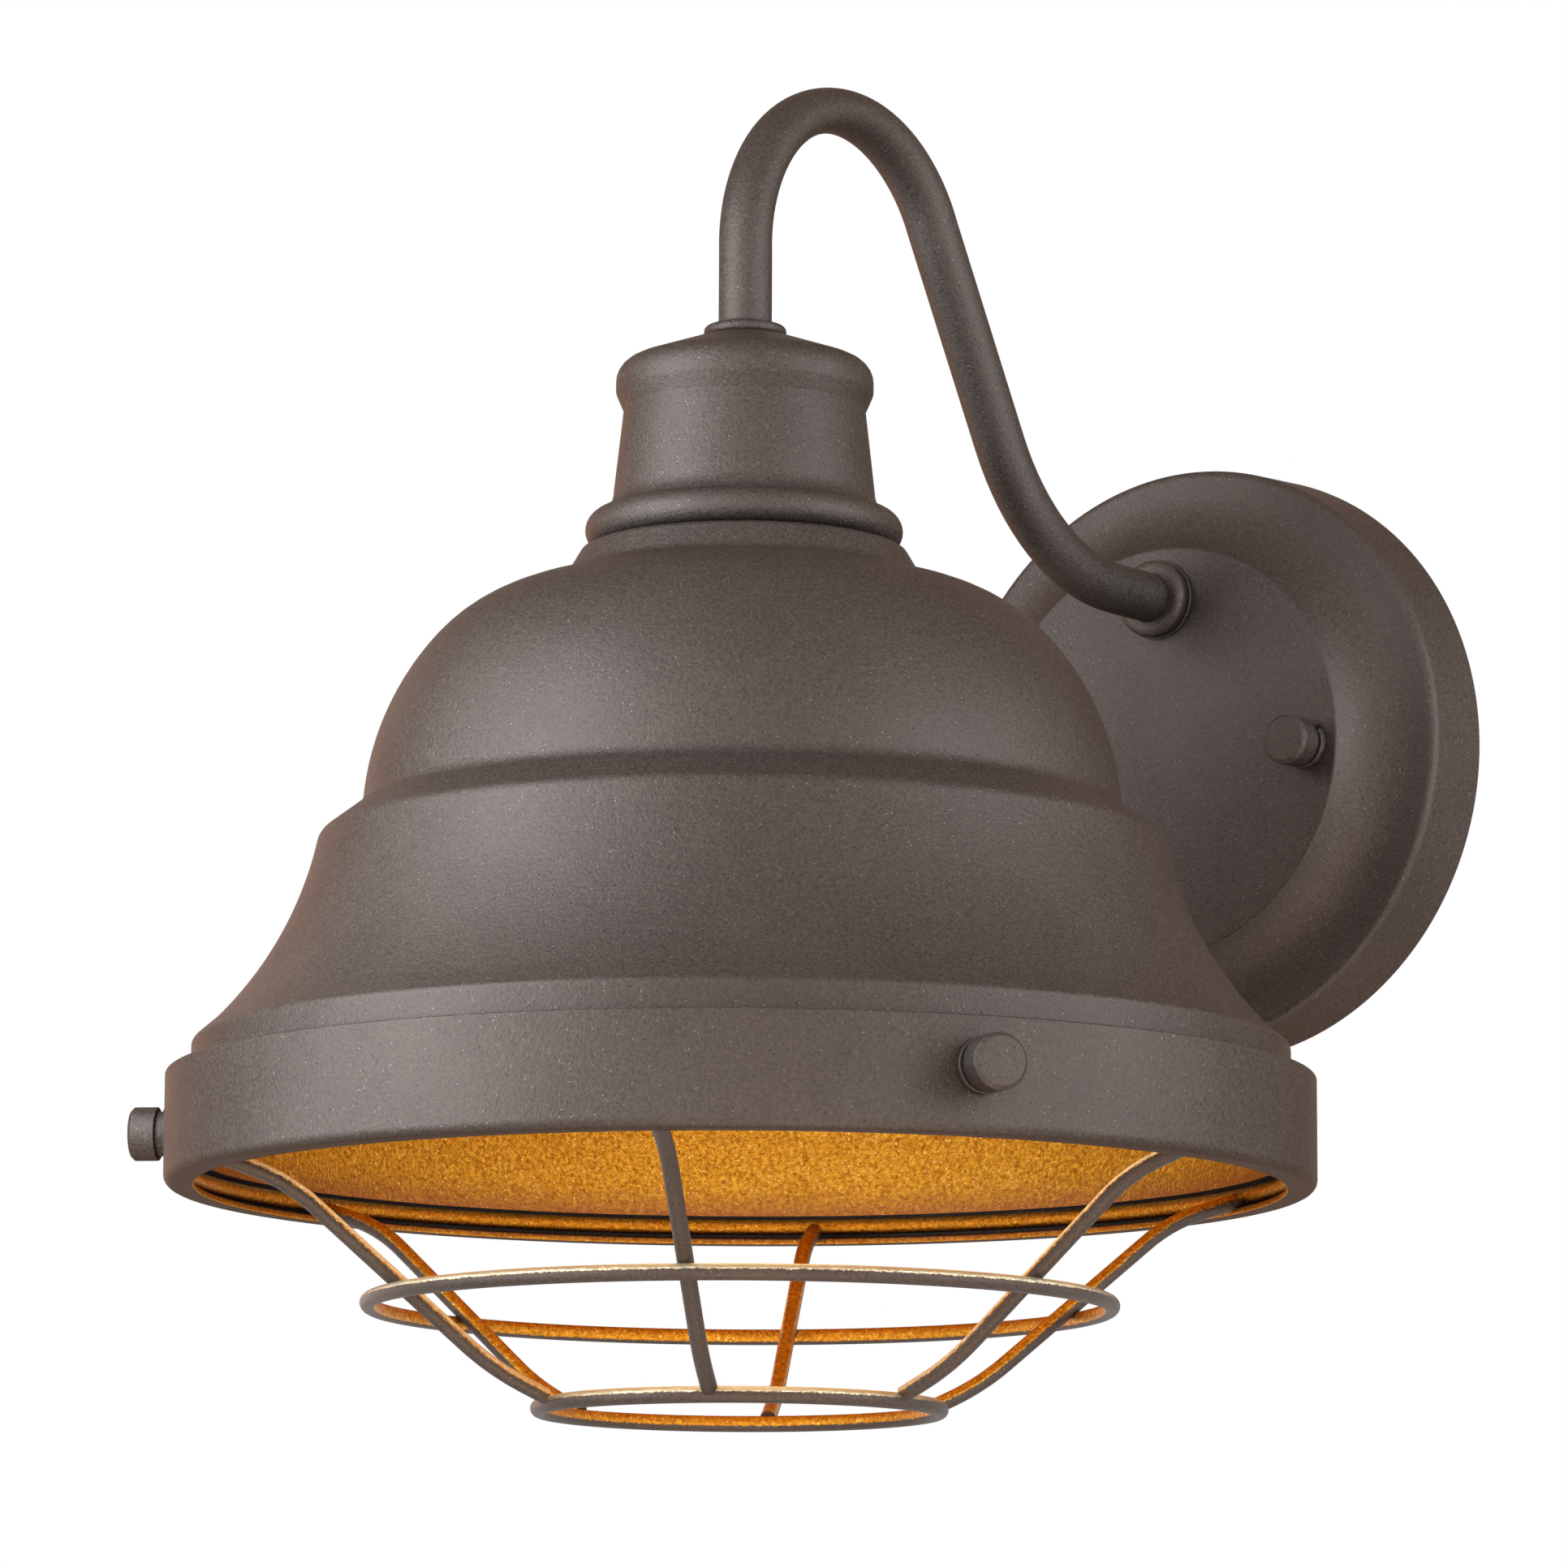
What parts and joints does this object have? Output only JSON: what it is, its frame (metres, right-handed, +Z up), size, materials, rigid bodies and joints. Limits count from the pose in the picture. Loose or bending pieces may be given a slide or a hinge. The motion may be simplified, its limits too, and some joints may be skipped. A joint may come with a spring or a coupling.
{
  "type": "outdoor wall sconce",
  "caption": "Outdoor wall light: a gooseneck tube on a round wall plate holds a stepped dome shade, with a wire cage on a rim band that drops off its thumb screws.",
  "frame": {"origin": "centre of the wall plate's back, on the wall", "axes": "+Y into the wall, +Z up, +X to the right as seen from the room"},
  "size_m": [0.2434, 0.3117, 0.2951],
  "materials": {
    "bronze_coat": "fine-textured dark bronze powder coat; gold paint inside the shade and on the cage's inner sides",
    "zinc_steel": "zinc-plated steel",
    "ground_green": "green-dyed zinc plating",
    "gasket_foam": "closed-cell foam",
    "line_insulation": "black insulation",
    "neutral_insulation": "white insulation",
    "connector_plastic": "moulded orange plastic",
    "holder_phenolic": "black moulded phenolic",
    "socket_brass": "drawn brass"
  },
  "bodies": {
    "fixture": {"wall_plate": "bronze_coat", "arm_tube": "bronze_coat", "foot_washer": "bronze_coat", "foot_collar": "bronze_coat", "cap_washer": "bronze_coat", "neck_cap": "bronze_coat", "shade": "bronze_coat", "box_strap": "zinc_steel", "stud_bar": "zinc_steel", "bar_rivet": "zinc_steel", "plate_studs": "zinc_steel", "stud_nuts": "zinc_steel", "foot_nipple": "zinc_steel", "foot_lock_washer": "zinc_steel", "foot_lock_nut": "zinc_steel", "cap_nipple": "zinc_steel", "cap_lock_nut": "zinc_steel", "ground_screw": "ground_green", "wall_gasket": "gasket_foam", "line_lead": "line_insulation", "neutral_lead": "neutral_insulation", "line_connector": "connector_plastic", "neutral_connector": "connector_plastic", "holder_cap": "holder_phenolic", "holder_body": "holder_phenolic", "shade_ring": "holder_phenolic", "screw_shell": "socket_brass", "centre_contact": "socket_brass", "holder_terminals": "socket_brass"},
    "cage_ring": {"rim_band": "bronze_coat", "weld_nuts": "zinc_steel", "cage_seat_ring": "bronze_coat", "cage_middle_ring": "bronze_coat", "cage_bottom_ring": "bronze_coat", "cage_rib_1": "bronze_coat", "cage_rib_2": "bronze_coat", "cage_rib_3": "bronze_coat", "cage_rib_4": "bronze_coat", "cage_rib_5": "bronze_coat", "cage_rib_6": "bronze_coat"},
    "thumb_washer_1": {"thumb_washer_1": "bronze_coat"},
    "thumb_screw_1": {"thumb_screw_1": "bronze_coat"},
    "thumb_washer_2": {"thumb_washer_2": "bronze_coat"},
    "thumb_screw_2": {"thumb_screw_2": "bronze_coat"},
    "thumb_washer_3": {"thumb_washer_3": "bronze_coat"},
    "thumb_screw_3": {"thumb_screw_3": "bronze_coat"},
    "nut_washer_left": {"nut_washer_left": "bronze_coat"},
    "plate_nut_left": {"plate_nut_left": "bronze_coat"},
    "nut_washer_right": {"nut_washer_right": "bronze_coat"},
    "plate_nut_right": {"plate_nut_right": "bronze_coat"}
  },
  "joints": [
    {"name": "cage_drop", "type": "slide", "parent": "fixture", "child": "cage_ring", "axis": [0, 0, -1], "range_m": [0, 0.06]},
    {"name": "thumb_travel_1", "type": "slide", "parent": "cage_ring", "child": "thumb_washer_1", "axis": [0.8625, -0.506, 0], "range_m": [0, 0.00315]},
    {"name": "thumb_turn_1", "type": "hinge", "parent": "thumb_washer_1", "child": "thumb_screw_1", "pos_m": [0.10661, -0.25251, -0.10273], "axis": [0.8625, -0.506, 0], "range_deg": [0, 1620]},
    {"name": "thumb_travel_2", "type": "slide", "parent": "cage_ring", "child": "thumb_washer_2", "axis": [0.007, 1, 0], "range_m": [0, 0.00315]},
    {"name": "thumb_turn_2", "type": "hinge", "parent": "thumb_washer_2", "child": "thumb_screw_2", "pos_m": [0.00086, -0.06637, -0.10273], "axis": [0.007, 1, 0], "range_deg": [0, 1620]},
    {"name": "thumb_travel_3", "type": "slide", "parent": "cage_ring", "child": "thumb_washer_3", "axis": [-0.8695, -0.4939, 0], "range_m": [0, 0.00315]},
    {"name": "thumb_turn_3", "type": "hinge", "parent": "thumb_washer_3", "child": "thumb_screw_3", "pos_m": [-0.10747, -0.25101, -0.10273], "axis": [-0.8695, -0.4939, 0], "range_deg": [0, 1620]},
    {"name": "nut_travel_left", "type": "slide", "parent": "fixture", "child": "nut_washer_left", "axis": [0, -1, 0], "range_m": [0, 0.00397]},
    {"name": "nut_turn_left", "type": "hinge", "parent": "nut_washer_left", "child": "plate_nut_left", "pos_m": [-0.04, -0.0335, -0.00175], "axis": [0, -1, 0], "range_deg": [0, 1800]},
    {"name": "nut_travel_right", "type": "slide", "parent": "fixture", "child": "nut_washer_right", "axis": [0, -1, 0], "range_m": [0, 0.00397]},
    {"name": "nut_turn_right", "type": "hinge", "parent": "nut_washer_right", "child": "plate_nut_right", "pos_m": [0.04, -0.0335, -0.00175], "axis": [0, -1, 0], "range_deg": [0, 1800]}
  ],
  "couplings": [
    {"joint": "thumb_turn_1", "follows": "thumb_travel_1", "rad_per_m": 8976},
    {"joint": "thumb_turn_2", "follows": "thumb_travel_2", "rad_per_m": 8976},
    {"joint": "thumb_turn_3", "follows": "thumb_travel_3", "rad_per_m": 8976},
    {"joint": "nut_turn_left", "follows": "nut_travel_left", "rad_per_m": 7915.8},
    {"joint": "nut_turn_right", "follows": "nut_travel_right", "rad_per_m": 7915.8}
  ]
}
